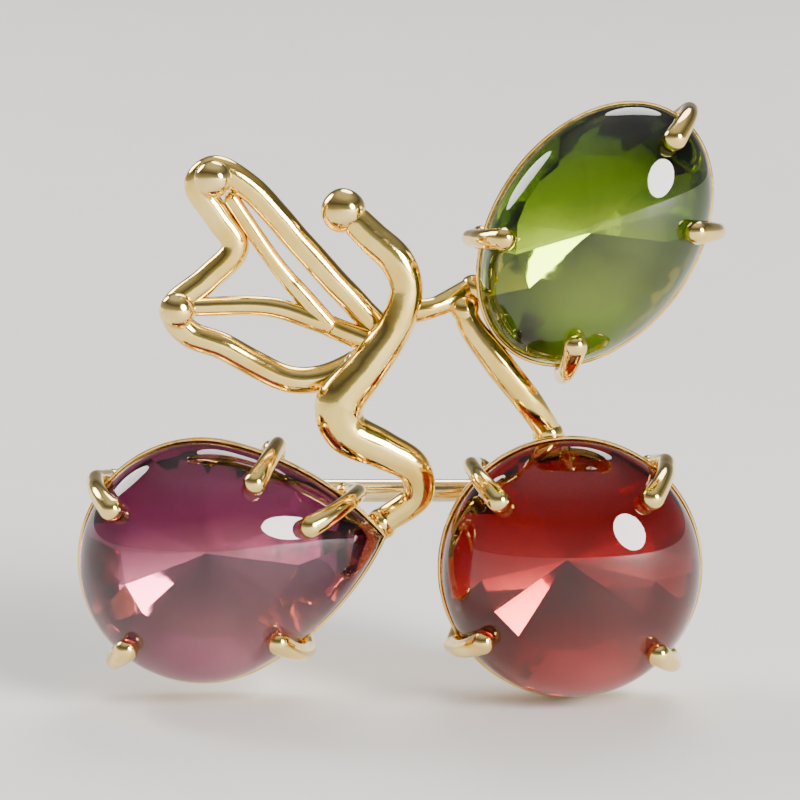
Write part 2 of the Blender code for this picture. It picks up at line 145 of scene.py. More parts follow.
# ---- routes of the wires: (x, y, z) ----
LEAF_WIRE_R = 0.42
MIDRIB_R = 0.34
VEIN_R = 0.28
VEIN_WIDTHS = (1.1, 1.0, 0.92, 0.85)
LEAF_EDGE = (
    (-0.48, -3.05, 5.11),
    (-1.25, -3.15, 6.12),
    (-2.03, -3.3, 6.96),
    (-2.68, -3.35, 7.7),
    (-3.18, -3.4, 8.25),
    (-3.75, -3.5, 8.93),
    (-4.55, -3.65, 9.78),
    (-5.55, -3.8, 10.36),
    (-6.12, -3.75, 9.87),
    (-5.55, -3.6, 8.93),
    (-5.02, -3.5, 7.98),
    (-5.87, -3.6, 7.05),
    (-6.87, -3.8, 6.18),
    (-6.45, -3.75, 5.41),
    (-5.43, -3.6, 4.99),
    (-4.48, -3.45, 4.45),
    (-3.46, -3.35, 3.97),
    (-2.45, -3.2, 3.97),
    (-1.43, -3.05, 4.39),
)
LEAF_MIDRIB = (
    (-0.7, -3.3, 5.0),
    (-1.85, -3.25, 5.45),
    (-2.6, -3.35, 5.75),
    (-4.1, -3.5, 6.2),
    (-6.4, -3.75, 6.2),
)
LEAF_VEIN = (
    (-2.2, -3.35, 5.6),
    (-3.1, -3.42, 6.65),
    (-3.45, -3.45, 7.05),
    (-4.05, -3.58, 7.85),
    (-5.1, -3.72, 9.45),
)
LEAF_BEADS = {"tip": (-5.6, -4.5, 10.05), "side": (-6.7, -4.5, 6.12)}
BEAD_R = 0.56
BEAD_SQUASH = 0.86  # front to back
BEAD_WAVES = ((0.02, 3.1, 0.0, 2.0), (0.015, 0.0, -2.2, 4.3))  # height of each wave, turns over x, y, z
BEAD_WAVE_SHIFT = 1.7  # from one bead to the next, so that no two are alike
BRANCH_R = 0.5
BRANCH = (
    (-1.3, -3.97, 8.75),
    (-0.85, -4.0, 8.3),
    (-0.12, -4.0, 7.6),
    (0.18, -4.0, 6.7),
    (-0.18, -4.05, 5.59),
    (-1.01, -4.15, 4.39),
    (-1.85, -4.2, 3.3),
    (-1.61, -4.1, 2.42),
    (-0.54, -3.95, 1.85),
    (0.38, -3.75, 1.27),
    (0.5, -3.45, 0.35),
)
BRANCH_WIDTHS = (0.95, 1.0, 1.05, 1.0, 1.05, 1.25, 1.5, 1.4, 1.2, 1.05, 0.95, 0.85)
BRANCH_ANGLE = 2.0  # where it meets the pear's cup, from the long axis
BRANCH_BEAD = (-1.73, -3.95, 9.11)
BRANCH_BEAD_R = 0.68
BRANCH_BEAD_SQUASH = 0.95
STEM_R = 0.42
STEM_ROUND = ((1.95, -3.65, 6.1), (2.2, -3.7, 5.5), (3.04, -3.75, 4.39), (3.9, -3.6, 3.3))
STEM_ROUND_WIDTHS = (0.85, 0.95, 1.1, 1.05, 0.95)
STEM_ROUND_ANGLE = 99.0
STEM_OVAL_R = 0.33
STEM_OVAL = ((0.25, -3.9, 6.05), (1.05, -3.8, 6.2))
STEM_OVAL_WIDTHS = (1.15, 0.95, 1.2)
STEM_OVAL_ANGLE = 151.0
STEM_END_SHARE = 0.66  # of the cup's height, where the stems meet it
STEM_END_OUT = 0.6  # share of a stem's thickness that its end stands out from the cup

# ---- solder ----
CLAW_GRAIN_R = 0.4
CLAW_GRAIN_SHARE = 0.24  # of the cup's height
CLAW_GRAIN_OUT = 0.12
STEM_GRAIN_OUT = 0.1
FRUIT_STEM_GRAIN_R = 0.5
LEAF_STEM_GRAIN_R = 0.48
JOINT_GRAINS = (  # x, y, z, radius
    (*STEM_ROUND[0], 0.44),
    (*STEM_OVAL[0], 0.42),
    (-0.6, -3.45, 5.2, 0.5),
    (-1.3, -3.45, 4.45, 0.46),
)
GRAIN_WAVES = ((0.05, 3.0, 0.0, 2.2), (0.04, 0.0, 3.7, -2.0))  # as for the beads
SKIRT_WAVE = 0.02  # unevenness, as a share of the size
# how far out from the fitting's foot, how far off the cup's back
SKIRT = ((0.24, -0.04), (0.24, 0.005), (0.15, 0.035), (0.08, 0.08), (0.04, 0.14), (0.01, 0.22))
SKIRT_CORNER_R = 0.08

# ---- pin and catch ----
FOOT_Y = CUP_BACK_Y + 0.02
EAR_GAP_HALF = 0.52
EAR_OUT_HALF = 1.05
EAR_R = 0.8
BRACKET_FLOOR_Y = -1.02
HINGE_CUT = 2.0  # half size of the shapes that cut the hinge
RIVET_R = 0.3
RIVET_HOLE_R = 0.33
RIVET_NECK = EAR_OUT_HALF + 0.01  # underside of the rivet's head
RIVET_UNDER_R = 0.46
RIVET_HEAD_R = 0.5
RIVET_HEAD_EDGE = 0.05
RIVET_HEAD_FLATTEN = 0.5
RIVET_HEAD_SWEEP = 82.0  # degrees of its arc, just short of the axis
RIVET_HEAD_RISE = 0.27
EYE_R = 0.74
EYE_HOLE_R = 0.36
EYE_HALF_HEIGHT = 0.46
HEEL_R = 1.12
HEEL_ANGLE = 128.0
HEEL_SPREAD = 26.0
HEEL_BLEND = 62.0  # degrees from the heel's middle to where the eye's rim starts
PIN_R = 0.375
PIN_START = 0.5  # from the rivet's axis, inside the eye
PIN_TAPER = 3.4
PIN_TAPER_POWER = 1.7  # keeps the taper full until near the point
PIN_TAPER_STEPS = 16
PIN_POINT = 0.06  # length of the blunt point
PIN_POINT_R = 0.03
CATCH_HALF = 1.0
CATCH_FOOT_HALF = 0.8
HOUSING_R = 1.5
HOUSING_BORE_R = 1.04
MOUTH_HALF_ANGLE = 68.0
BARREL_R = 1.0
BARREL_HALF = CATCH_HALF + 0.05
FLANGE_R = 1.38
FLANGE_THICK = 0.25
FLANGE_EASE = 0.08
SLOT_HALF = 0.47
SLOT_CUT = 3.0  # half size of the shape that cuts the slot
LEVER_ANGLE = -53.0
LEVER_R = 2.1
LEVER_ROOT = 0.6
LEVER_HALF_THICK = 0.22
LEVER_HALF_WIDTH = 0.5
EDGE_SOFT = 0.07
SLEEVE_SOFT = 0.06

# ---- mesh fineness; angles in degrees ----
ROUTE_STEPS = 12
CLAW_STEPS = 6
WIRE_SIDES = 20
STEM_SIDES = 28
CAP_RISES = (0, 18, 36, 54, 70, 82)
TURN_STEPS = 64
BEVEL_STEPS = 3
BEVEL_FROM = 35.0
SHARP_FROM = 40.0
FLAT_WITHIN = 0.5
SWEEP_TURN_STEPS = 128
MERGE_WITHIN = 0.0005

# ---- colours; places and reaches in millimetres ----
GOLDS = {  # light tone, deep tone, smoothest, roughest, height of the hammering in metres
    "gold_cast": ((0.90, 0.64, 0.22, 1), (0.66, 0.40, 0.09, 1), 0.12, 0.30, 0.00009),
    "gold_wire": ((0.98, 0.75, 0.24, 1), (0.87, 0.58, 0.12, 1), 0.05, 0.16, 0.00002),
    "gold_claw": ((0.98, 0.77, 0.29, 1), (0.88, 0.60, 0.16, 1), 0.05, 0.16, 0.00002),
    "pin_steel": ((0.90, 0.76, 0.44, 1), (0.74, 0.56, 0.25, 1), 0.08, 0.2, 0.000006),
}
GLASSES = {  # the stone's tone away from the painted light, the painted-light tone where light would gather in it, its middle, reach and share of each axis
    "amethyst": {
        "deep": (0.16, 0.026, 0.11, 1),
        "painted_glow": (0.97, 0.42, 0.42, 1),
        "centre": (-5.3, -5.2, -4.3),
        "reach": 4.6,
        "squeeze": (0.62, 0.5, 1.0),
    },
    "garnet": {
        "deep": (0.23, 0.010, 0.013, 1),
        "painted_glow": (0.96, 0.25, 0.23, 1),
        "centre": (5.8, -5.2, -4.8),
        "reach": 4.2,
        "squeeze": (0.68, 0.5, 1.05),
    },
    "peridot": {
        "deep": (0.075, 0.165, 0.009, 1),
        "painted_glow": (0.62, 0.80, 0.10, 1),
        "centre": (5.5, -5.0, 6.8),
        "reach": 3.3,
        "squeeze": (0.75, 0.5, 1.2),
    },
}
FOILS = {  # the foil's own tone, the painted highlight's tone, the painted highlight's middle, its reach
    "amethyst_foil": ((0.34, 0.14, 0.26, 1), (1.0, 0.80, 0.80, 1), (-4.9, -3.0, -4.4), 5.2),
    "garnet_foil": ((0.40, 0.10, 0.08, 1), (1.0, 0.62, 0.58, 1), (5.8, -3.0, -5.0), 4.8),
    "peridot_foil": ((0.26, 0.30, 0.06, 1), (1.0, 1.0, 0.45, 1), (5.2, -3.0, 6.8), 4.2),
}
CLEAR_IN_PAINTED_GLOW = 0.87  # how clear a stone's glass stays in its painted light, where light would gather in it
GLASS_IOR = 1.52
GLASS_SPECULAR = 0.36
FLOOR_ROUGHNESS = 0.75
FLOOR_TONES = ((0.71, 0.70, 0.69, 1), (0.75, 0.74, 0.73, 1))

# ---- studio: lengths in millimetres for the floor, metres for lights and camera ----
FLOOR_DROP = 0.15
FLOOR_FLAT = 150.0
SWEEP_REACH = 350.0
SWEEP_RISE = 75.0
SWEEP_STEPS = 24
LIGHT_DISTANCE = 0.6
LIGHTS = {  # azimuth and elevation in degrees, width, power, colour
    "key": (47, 23, 0.27, 9.5, (1.0, 0.97, 0.92)),
    "left": (-120, 36, 0.26, 2.4, (1.0, 0.98, 0.95)),
    "top": (165, 56, 0.32, 2.2, (1.0, 0.98, 0.95)),
}
# tone of the room at each height of the look direction, from level (0) to straight up (1)
WORLD_TONES = (
    (0.14, (0.62, 0.62, 0.62, 1)),
    (0.34, (0.33, 0.33, 0.34, 1)),
    (0.55, (0.13, 0.13, 0.14, 1)),
    (0.72, (0.3, 0.3, 0.31, 1)),
    (0.95, (0.85, 0.85, 0.87, 1)),
)
WORLD_STRENGTH = 0.8
CAMERA_LENS = 90
CAMERA_ELEVATION = 6
CAMERA_DISTANCE = 0.062
CAMERA_NEAR, CAMERA_FAR = 0.001, 5.0


# ---------------------------------------------------------------- materials
class Nodes:
    """Short calls for building one material's node tree."""

    def __init__(self, name):
        self.material = bpy.data.materials.new(name)
        self.material.use_nodes = True
        self.tree = self.material.node_tree
        self.shader = self.tree.nodes["Principled BSDF"]
        self.place = self.add("ShaderNodeTexCoord").outputs["Object"]

    def add(self, kind, values=None, **settings):
        node = self.tree.nodes.new(kind)
        for key, value in settings.items():
            setattr(node, key, value)
        for key, value in (values or {}).items():
            self.put(value, node.inputs[key])
        return node

    def put(self, value, socket):
        if isinstance(value, bpy.types.NodeSocket):
            self.tree.links.new(value, socket)
        else:
            socket.default_value = value

    def set(self, **values):
        for key, value in values.items():
            self.put(value, self.shader.inputs[key.replace("_", " ")])

    def noise(self, scale, detail=4.0, roughness=0.55, stretch=None):
        place = self.place
        if stretch:
            place = self.add("ShaderNodeMapping", {"Vector": place, "Scale": stretch}).outputs[0]
        values = {"Vector": place, "Scale": scale, "Detail": detail, "Roughness": roughness}
        return self.add("ShaderNodeTexNoise", values).outputs["Fac"]

    def ramp(self, source, low, high, start=0.0, end=1.0):
        values = {"Value": source, "From Min": start, "From Max": end, "To Min": low, "To Max": high}
        return self.add("ShaderNodeMapRange", values).outputs["Result"]

    def mix(self, share, first, second):
        node = self.add("ShaderNodeMix", data_type="RGBA")
        for key, value in (("Factor", share), ("A", first), ("B", second)):
            sockets = [s for s in node.inputs if s.name == key and s.enabled]
            self.put(value, sockets[0])
        return [s for s in node.outputs if s.enabled][0]

    def combine(self, first, second, operation="ADD"):
        return self.add("ShaderNodeMath", {0: first, 1: second}, operation=operation).outputs[0]

    def distance(self, centre, squeeze=(1.0, 1.0, 1.0)):
        """Distance from a place in millimetres, with each axis squeezed by its own share."""
        middle = tuple(v * MM for v in centre)
        away = self.add("ShaderNodeVectorMath", {0: self.place, 1: middle}, operation="SUBTRACT")
        squeezed = self.add("ShaderNodeVectorMath", {0: away.outputs[0], 1: squeeze}, operation="MULTIPLY")
        length = self.add("ShaderNodeVectorMath", {0: squeezed.outputs[0]}, operation="LENGTH")
        return length.outputs["Value"]

    def bump(self, height, distance, strength=1.0):
        values = {"Height": height, "Distance": distance, "Strength": strength}
        self.put(self.add("ShaderNodeBump", values).outputs[0], self.shader.inputs["Normal"])


def gold(name, light, deep, smooth, rough, hammer):
    """Polished gold plate: two tones in soft patches, fine rubbing marks and a slightly uneven skin."""
    made = Nodes(name)
    patches = made.noise(650.0, detail=3.0)
    fine = made.noise(9000.0, detail=2.0, roughness=0.6)
    rubs = made.noise(2600.0, detail=3.0, roughness=0.7, stretch=(1.0, 0.35, 6.0))
    made.set(
        Base_Color=made.mix(made.ramp(patches, 0.0, 1.0, start=0.35, end=0.68), light, deep),
        Metallic=1.0,
        Roughness=made.ramp(made.combine(patches, rubs), smooth, rough, start=0.7, end=1.35),
    )
    skin = made.combine(made.noise(900.0, detail=2.0), made.combine(fine, 0.08, "MULTIPLY"))
    made.bump(skin, hammer)
    return made.material


def gem_glass(name, deep, painted_glow, centre, reach, squeeze):
    """Clear coloured glass with painted light: paler and faintly clouded round a fixed point where light
    would gather in it.
    """
    made = Nodes(name)
    wander = made.ramp(made.noise(420.0, detail=2.0), -0.0007, 0.0007)
    distance = made.combine(made.distance(centre, squeeze), wander)
    # painted light: colour paler and glass less clear toward a fixed point, standing in for light gathered
    # inside the stone
    painted_light_zone = made.ramp(distance, 1.0, 0.0, start=0.0, end=reach * MM)
    made.set(
        Base_Color=made.mix(painted_light_zone, deep, painted_glow),
        Roughness=made.ramp(made.noise(1800.0, detail=3.0), 0.003, 0.025, start=0.3, end=0.7),
        IOR=GLASS_IOR,
        Transmission_Weight=made.ramp(painted_light_zone, 1.0, CLEAR_IN_PAINTED_GLOW),
        Specular_IOR_Level=GLASS_SPECULAR,
    )
    made.bump(made.noise(260.0, detail=2.0), 0.00002, strength=0.5)
    return made.material


def foil(name, dark, bright, centre, reach):
    """The tinted mirror foil behind a stone, with a painted highlight: brighter round a fixed point where
    the key light would focus through the dome.
    """
    made = Nodes(name)
    # painted highlight: the foil's colour lightens toward a fixed point, standing in for key light focused
    # by the dome
    painted_light_zone = made.ramp(made.distance(centre), 1.0, 0.0, start=0.0, end=reach * MM)
    grain = made.noise(1400.0, detail=2.0)
    made.set(
        Base_Color=made.mix(painted_light_zone, dark, bright),
        Metallic=1.0,
        Roughness=made.ramp(grain, 0.02, 0.08, start=0.3, end=0.7),
    )
    made.bump(grain, 0.00002, strength=0.25)
    return made.material


def floor_paint(name):
    """A matt pale paint, very slightly mottled."""
    made = Nodes(name)
    tone = made.mix(made.noise(60.0, detail=3.0), *FLOOR_TONES)
    made.set(Base_Color=tone, Roughness=FLOOR_ROUGHNESS)
    return made.material


def make_looks():
    looks = {name: gold(name, *values) for name, values in GOLDS.items()}
    looks.update({name: gem_glass(name, **values) for name, values in GLASSES.items()})
    looks.update({name: foil(name, *values) for name, values in FOILS.items()})
    looks["pale_sweep"] = floor_paint("pale_sweep")
    return looks


LOOKS = make_looks()


# ---------------------------------------------------------------- mesh helpers
def finish_mesh(name, bm, looks, crease=35.0):
    """Turns a bmesh in millimetres into a smooth-shaded mesh object in metres; a second look stays flat."""
    bmesh.ops.recalc_face_normals(bm, faces=bm.faces)
    bmesh.ops.transform(bm, matrix=Matrix.Scale(MM, 4), verts=bm.verts)
    mesh = bpy.data.meshes.new(name)
    bm.to_mesh(mesh)
    bm.free()
    mesh.shade_smooth()
    mesh.set_sharp_from_angle(angle=math.radians(crease))
    for polygon in mesh.polygons:
        if polygon.material_index:
            polygon.use_smooth = False
    for look in looks:
        mesh.materials.append(LOOKS[look])
    made = bpy.data.objects.new(name, mesh)
    bpy.context.scene.collection.objects.link(made)
    return made


def show(made, nodes, body="brooch"):
    """Declares a finished piece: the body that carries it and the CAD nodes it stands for."""
    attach(made, body)
    if nodes:
        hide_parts(*nodes)
    return made


def band(bm, lower, upper):
    """Faces between two loops of corners."""
    count = len(lower)
    for i in range(count):
        j = (i + 1) % count
        bm.faces.new((lower[i], lower[j], upper[j], upper[i]))


def skinned(rings, closed=False, shift=0):
    """A bmesh over rings of equal length, closed by a face at each end or joined into a loop."""
    bm = bmesh.new()
    loops = [[bm.verts.new(point) for point in ring] for ring in rings]
    count = len(rings[0])
    for lower, upper in zip(loops, loops[1:]):
        band(bm, lower, upper)
    if closed:
        band(bm, loops[-1], [loops[0][(i + shift) % count] for i in range(count)])
    else:
        bm.faces.new(list(reversed(loops[0])))
        bm.faces.new(loops[-1])
    return bm


def prism(outline, axis, half):
    """A bmesh of a flat outline, drawn out by half its length each way along 'X' or 'Z'."""
    ends = []
    for reach in (-half, half):
        if axis == "X":
            ends.append([Vector((reach, u, v)) for u, v in outline])
        else:
            ends.append([Vector((u, v, reach)) for u, v in outline])
    return skinned(ends)


def turned(profile, axis):
    """A bmesh of the (radius, height) profile spun about the axis 'X' or 'Z'; its ends lie on the axis."""
    bm = bmesh.new()
    points = []
    for radius, height in profile:
        point = (height, radius, 0.0) if axis == "X" else (radius, 0.0, height)
        points.append(bm.verts.new(point))
    edges = [bm.edges.new(pair) for pair in zip(points, points[1:])]
    direction = (1, 0, 0) if axis == "X" else (0, 0, 1)
    spun = {"cent": (0, 0, 0), "axis": direction, "angle": math.tau, "steps": TURN_STEPS, "use_merge": True}
    bmesh.ops.spin(bm, geom=points + edges, **spun)
    bmesh.ops.remove_doubles(bm, verts=bm.verts, dist=MERGE_WITHIN)
    return bm


def arc(centre, radius, start, end, steps):
    """Points along an arc, angles in degrees, as (u, v) pairs."""
    angles = [math.radians(start + (end - start) * i / steps) for i in range(steps + 1)]
    return [(centre[0] + radius * math.cos(a), centre[1] + radius * math.sin(a)) for a in angles]


def smooth_route(points, per_span, closed=False):
    """Points along a Catmull-Rom curve through the given ones."""
    knots = [Vector(point) for point in points]
    count = len(knots)
    route = []
    for i in range(count if closed else count - 1):
        if closed:
            a, b, c, d = (knots[(i + k) % count] for k in (-1, 0, 1, 2))
        else:
            b, c = knots[i], knots[i + 1]
            a = knots[i - 1] if i else 2 * b - c
            d = knots[i + 2] if i + 2 < count else 2 * c - b
        for k in range(per_span):
            t = k / per_span
            bend = (2 * a - 5 * b + 4 * c - d) * t**2 + (3 * b - a - 3 * c + d) * t**3
            route.append(0.5 * (2 * b + (c - a) * t + bend))
    if not closed:
        route.append(knots[-1])
    return route


def spread(values, place):
    """The value at a place from 0 to 1 along an evenly spread list."""
    along = place * (len(values) - 1)
    step = min(int(along), len(values) - 2)
    return values[step] + (values[step + 1] - values[step]) * (along - step)


def wire(name, points, radius, look, widths=(1.0, 1.0), closed=False, sides=WIRE_SIDES):
    """A wire along the points, thicker and thinner by the widths, with rounded ends when open."""
    count = len(points)
    tangents = []
    for i in range(count):
        after = points[(i + 1) % count] if closed or i + 1 < count else points[i]
        before = points[i - 1] if closed or i else points[i]
        tangents.append((after - before).normalized())
    rings = []
    side = tangents[0].orthogonal().normalized()
    first = side.copy()
    turns = [math.tau * k / sides for k in range(sides)]
    for i, (point, tangent) in enumerate(zip(points, tangents)):
        side = (side - tangent * side.dot(tangent)).normalized()
        other = tangent.cross(side)
        width = radius * spread(widths, i / (count - 1))
        spokes = [side * math.cos(t) + other * math.sin(t) for t in turns]
        if not closed and i in (0, count - 1):
            away = -tangent if i == 0 else tangent
            cap = []
            for rise in CAP_RISES:
                lift = math.radians(rise)
                middle = point + away * width * math.sin(lift)
                cap.append([middle + spoke * width * math.cos(lift) for spoke in spokes])
            rings += reversed(cap) if i == 0 else cap
        else:
            rings.append([point + spoke * width for spoke in spokes])
    shift = 0
    if closed:
        side = (side - tangents[0] * side.dot(tangents[0])).normalized()
        turn = math.atan2(first.cross(side).dot(tangents[0]), first.dot(side))
        shift = round(turn / math.tau * sides)
    return finish_mesh(name, skinned(rings, closed, shift), [look], crease=60.0)


def swell(direction, waves, start):
    """The soft unevenness of melted metal in one direction from its middle, as a share of its radius."""
    x, y, z = direction
    return sum(height * math.sin(a * x + b * y + c * z + start) for height, a, b, c in waves)


def bead(name, place, radius, squash, wave_start=0.0):
    """A melted-down grain at a wire's point: a ball thinned front to back, with soft unevenness."""
    bm = bmesh.new()
    bmesh.ops.create_icosphere(bm, subdivisions=4, radius=1.0)
    for vert in bm.verts:
        x, y, z = vert.co
        growth = 1 + swell(vert.co, BEAD_WAVES, wave_start)
        vert.co = Vector((x, y * squash, z)) * radius * growth + Vector(place)
    return finish_mesh(name, bm, ["gold_claw"], crease=80.0)


def cut(target, helper, operation="DIFFERENCE"):
    """Applies a boolean with the helper and removes the helper."""
    step = target.modifiers.new("boolean", "BOOLEAN")
    step.operation = operation
    step.solver = "EXACT"
    step.object = helper
    settle(target)
    bpy.data.objects.remove(helper)


def settle(target):
    """Turns the target's modifiers into its own mesh."""
    graph = bpy.context.evaluated_depsgraph_get()
    mesh = bpy.data.meshes.new_from_object(target.evaluated_get(graph))
    target.modifiers.clear()
    target.data = mesh


def soften(target, width):
    """Rounds the sharp edges and shades the result so that its flat faces stay flat."""
    bm = bmesh.new()
    bm.from_mesh(target.data)
    bmesh.ops.dissolve_limit(bm, angle_limit=math.radians(FLAT_WITHIN), verts=bm.verts, edges=bm.edges)
    bm.to_mesh(target.data)
    bm.free()
    bevel = target.modifiers.new("soften", "BEVEL")
    bevel.width = width * MM
    bevel.segments = BEVEL_STEPS
    bevel.limit_method = "ANGLE"
    bevel.angle_limit = math.radians(BEVEL_FROM)
    bevel.miter_outer = "MITER_ARC"
    settle(target)
    target.data.shade_smooth()
    target.data.set_sharp_from_angle(angle=math.radians(SHARP_FROM))
    target.modifiers.new("even", "WEIGHTED_NORMAL").keep_sharp = True
    settle(target)


def shift_x(target, x):
    """Moves a mesh along X by millimetres, in its vertices."""
    target.data.transform(Matrix.Translation((x * MM, 0, 0)))


# ---------------------------------------------------------------- stone outlines
def outline_radius(stone, angle, grow=0.0):
    """Distance from the stone's centre to its edge, grown by an offset, at an angle from its long axis."""
    if "half_length" in stone:
        a, b = stone["half_length"] + grow, stone["half_width"] + grow
        return a * b / math.hypot(b * math.cos(angle), a * math.sin(angle))
    radius = stone["radius"] + grow
    if "tip" not in stone:
        return radius
    side = stone["side_radius"]
    reach, back = stone["tip"], stone["radius"] - side
    tangent = math.acos((reach**2 + back**2 - side**2) / (2 * reach * back))
    bearing = abs(math.remainder(angle, math.tau))
    if bearing >= tangent:
        return radius
    along = back * math.cos(tangent - bearing)
    return along + math.sqrt(along**2 - back**2 + (side + grow) ** 2)


def edge_point(stone, angle, y, grow=0.0, scale=1.0):
    """A point on the grown and scaled outline, in the brooch's frame."""
    reach = outline_radius(stone, angle, grow) * scale
    bearing = angle + math.radians(stone["turn"])
    x, z = stone["centre"]
    return Vector((x + reach * math.cos(bearing), y, z + reach * math.sin(bearing)))


def ring(stone, y, grow=0.0, scale=1.0):
    """Points round the grown and scaled outline at one depth."""
    return [edge_point(stone, math.tau * i / RING_STEPS, y, grow, scale) for i in range(RING_STEPS)]


def dome_point(stone, angle, rise):
    """A point on the dome, which rounds off upward; rise is 0 at the girdle, a quarter turn at the top."""
    y = LEDGE_Y - GIRDLE - stone["dome"] * math.sin(rise)
    edge = outline_radius(stone, angle)
    reach = edge
    if "tip" in stone:
        window = math.radians(TIP_WINDOW) * math.sin(rise)
        steps = range(-TIP_SAMPLES, TIP_SAMPLES + 1)
        reach = sum(outline_radius(stone, angle + window * k / TIP_SAMPLES) for k in steps) / len(steps)
        reach += (stone["radius"] - reach) * TIP_ROUNDING * math.sin(rise) ** 2
    return edge_point(stone, angle, y, scale=math.cos(rise) * reach / edge)


def dome_normal(stone, angle, rise):
    """The direction straight out of the dome at a point on it."""
    step = 0.01
    across = dome_point(stone, angle + step, rise) - dome_point(stone, angle - step, rise)
    up = dome_point(stone, angle, rise + step) - dome_point(stone, angle, rise - step)
    normal = across.cross(up).normalized()
    x, z = stone["centre"]
    outwards = dome_point(stone, angle, rise) - Vector((x, LEDGE_Y, z))
    return normal if normal.dot(outwards) > 0 else -normal


def outward(stone, angle):
    """The direction straight out from the stone's edge."""
    away = dome_normal(stone, angle, NEAR_GIRDLE)
    return Vector((away.x, 0.0, away.z)).normalized()


def cup_side(stone, degrees, share, off=0.0):
    """A point on the cup's outside at a share of its height, moved out by an offset."""
    angle = math.radians(degrees)
    step = max(i for i, (level, scale) in enumerate(CUP_SIDE[:-1]) if level <= share)
    (low, narrow), (high, wide) = CUP_SIDE[step], CUP_SIDE[step + 1]
    scale = narrow + (wide - narrow) * (share - low) / (high - low)
    depth = CUP_BACK_Y + (CUP_RIM_Y - CUP_BACK_Y) * share
    return edge_point(stone, angle, depth, grow=RIM_OUT, scale=scale) + outward(stone, angle) * off


# ---------------------------------------------------------------- settings
def make_stone(name, stone, glass, back):
    """A domed stone with a softened girdle and a faceted, foiled back."""
    bm = bmesh.new()
    rings = [ring(stone, y, grow) for y, grow in GIRDLE_RINGS]
    for i in range(1, DOME_PARTS - 1):
        rise = math.radians(90 * i / DOME_PARTS)
        rings.append([dome_point(stone, math.tau * k / RING_STEPS, rise) for k in range(RING_STEPS)])
    loops = [[bm.verts.new(point) for point in points] for points in rings]
    for lower, upper in zip(loops, loops[1:]):
        band(bm, lower, upper)
    x, z = stone["centre"]
    top = bm.verts.new((x, LEDGE_Y - GIRDLE - stone["dome"], z))
    for i in range(RING_STEPS):
        bm.faces.new((loops[-1][i], loops[-1][(i + 1) % RING_STEPS], top))
    corners = []
    for depth, scale, offset in FACET_RINGS:
        angles = [math.tau * (i + offset) / FACETS for i in range(FACETS)]
        corners.append([bm.verts.new(edge_point(stone, a, LEDGE_Y + depth, scale=scale)) for a in angles])
    culet = bm.verts.new((x, LEDGE_Y + CULET_DEPTH, z))
    outer, inner = corners
    backs = []
    for i in range(FACETS):
        j = (i + 1) % FACETS
        for k in range(PER_FACET):
            start = i * PER_FACET + k
            backs.append(bm.faces.new((outer[i], loops[0][(start + 1) % RING_STEPS], loops[0][start])))
        backs.append(bm.faces.new((outer[i], outer[j], loops[0][(i + 1) * PER_FACET % RING_STEPS])))
        backs.append(bm.faces.new((outer[i], inner[i], outer[j])))
        backs.append(bm.faces.new((outer[j], inner[i], inner[j])))
        backs.append(bm.faces.new((inner[i], culet, inner[j])))
    for face in backs:
        face.material_index = 1
    return finish_mesh(name, bm, [glass, back], crease=50.0)


def make_cup(name, stone):
    """A closed cup: flat back with a pressed ring, a turned groove, and a lip round the stone."""
    height = CUP_RIM_Y - CUP_BACK_Y
    outside = CUP_BACK + CUP_SIDE
    rings = [ring(stone, CUP_BACK_Y + height * share, RIM_OUT, scale) for share, scale in outside]
    rings += [ring(stone, y, grow, scale) for y, grow, scale in CUP_INSIDE]
    return finish_mesh(name, skinned(rings), ["gold_cast"], crease=40.0)


def make_claw(name, stone, degrees):
    """A claw wire up the outside of the cup, pressed over the stone's edge, with a rounded bead tip."""
    angle = math.radians(degrees)
    points = [cup_side(stone, degrees, share, CLAW_R + CLAW_FREE) for share in CLAW_FOOT]
    for rise, gap in CLAW_OVER:
        lift = math.radians(rise)
        points.append(dome_point(stone, angle, lift) + dome_normal(stone, angle, lift) * (CLAW_R + gap))
    return wire(name, smooth_route(points, CLAW_STEPS), CLAW_R, "gold_claw", CLAW_WIDTHS)


def make_settings():
    for name, (stone, glass) in STONES.items():
        show(make_stone(f"{name}_gem", stone, glass, f"{glass}_foil"), [f"{name}_stone"])
        show(make_cup(f"{name}_collet", stone), [f"{name}_cup"])
        for number, degrees in enumerate(stone["claws"], 1):
            claw = make_claw(f"{name}_prong_{number}", stone, degrees)
            show(claw, [f"{name}_claw_{number}"])


# ---------------------------------------------------------------- wire leaf, stems
def make_leaf():
    edge = smooth_route(LEAF_EDGE, ROUTE_STEPS, closed=True)
    show(wire("leaf_rim", edge, LEAF_WIRE_R, "gold_wire", closed=True), ["leaf_edge"])
    veins = (("rib", LEAF_MIDRIB, MIDRIB_R, "leaf_midrib"), ("side_vein", LEAF_VEIN, VEIN_R, "leaf_vein"))
    for name, route, radius, node in veins:
        vein = wire(name, smooth_route(route, ROUTE_STEPS), radius, "gold_wire", VEIN_WIDTHS)
        show(vein, [node])
    for number, (name, place) in enumerate(LEAF_BEADS.items()):
        grain = bead(f"grain_{name}", place, BEAD_R, BEAD_SQUASH, BEAD_WAVE_SHIFT * number)
        show(grain, [f"leaf_bead_{name}"])


def make_stem(name, node, stone, route, degrees, radius, widths):
    """A tapering stem along its route to the side of a stone's cup."""
    end = cup_side(stone, degrees, STEM_END_SHARE, radius * widths[-1] * STEM_END_OUT)
    points = smooth_route([*route, end], ROUTE_STEPS)
    show(wire(name, points, radius, "gold_wire", widths, sides=STEM_SIDES), [node])


def make_stems():
    make_stem("bough", "branch", PEAR, BRANCH, BRANCH_ANGLE, BRANCH_R, BRANCH_WIDTHS)
    make_stem("stalk_round", "stem_round", ROUND, STEM_ROUND, STEM_ROUND_ANGLE, STEM_R, STEM_ROUND_WIDTHS)
    make_stem("stalk_oval", "stem_oval", OVAL, STEM_OVAL, STEM_OVAL_ANGLE, STEM_OVAL_R, STEM_OVAL_WIDTHS)
    tip = bead("bough_end", BRANCH_BEAD, BRANCH_BEAD_R, BRANCH_BEAD_SQUASH)
    show(tip, ["branch_bead"])


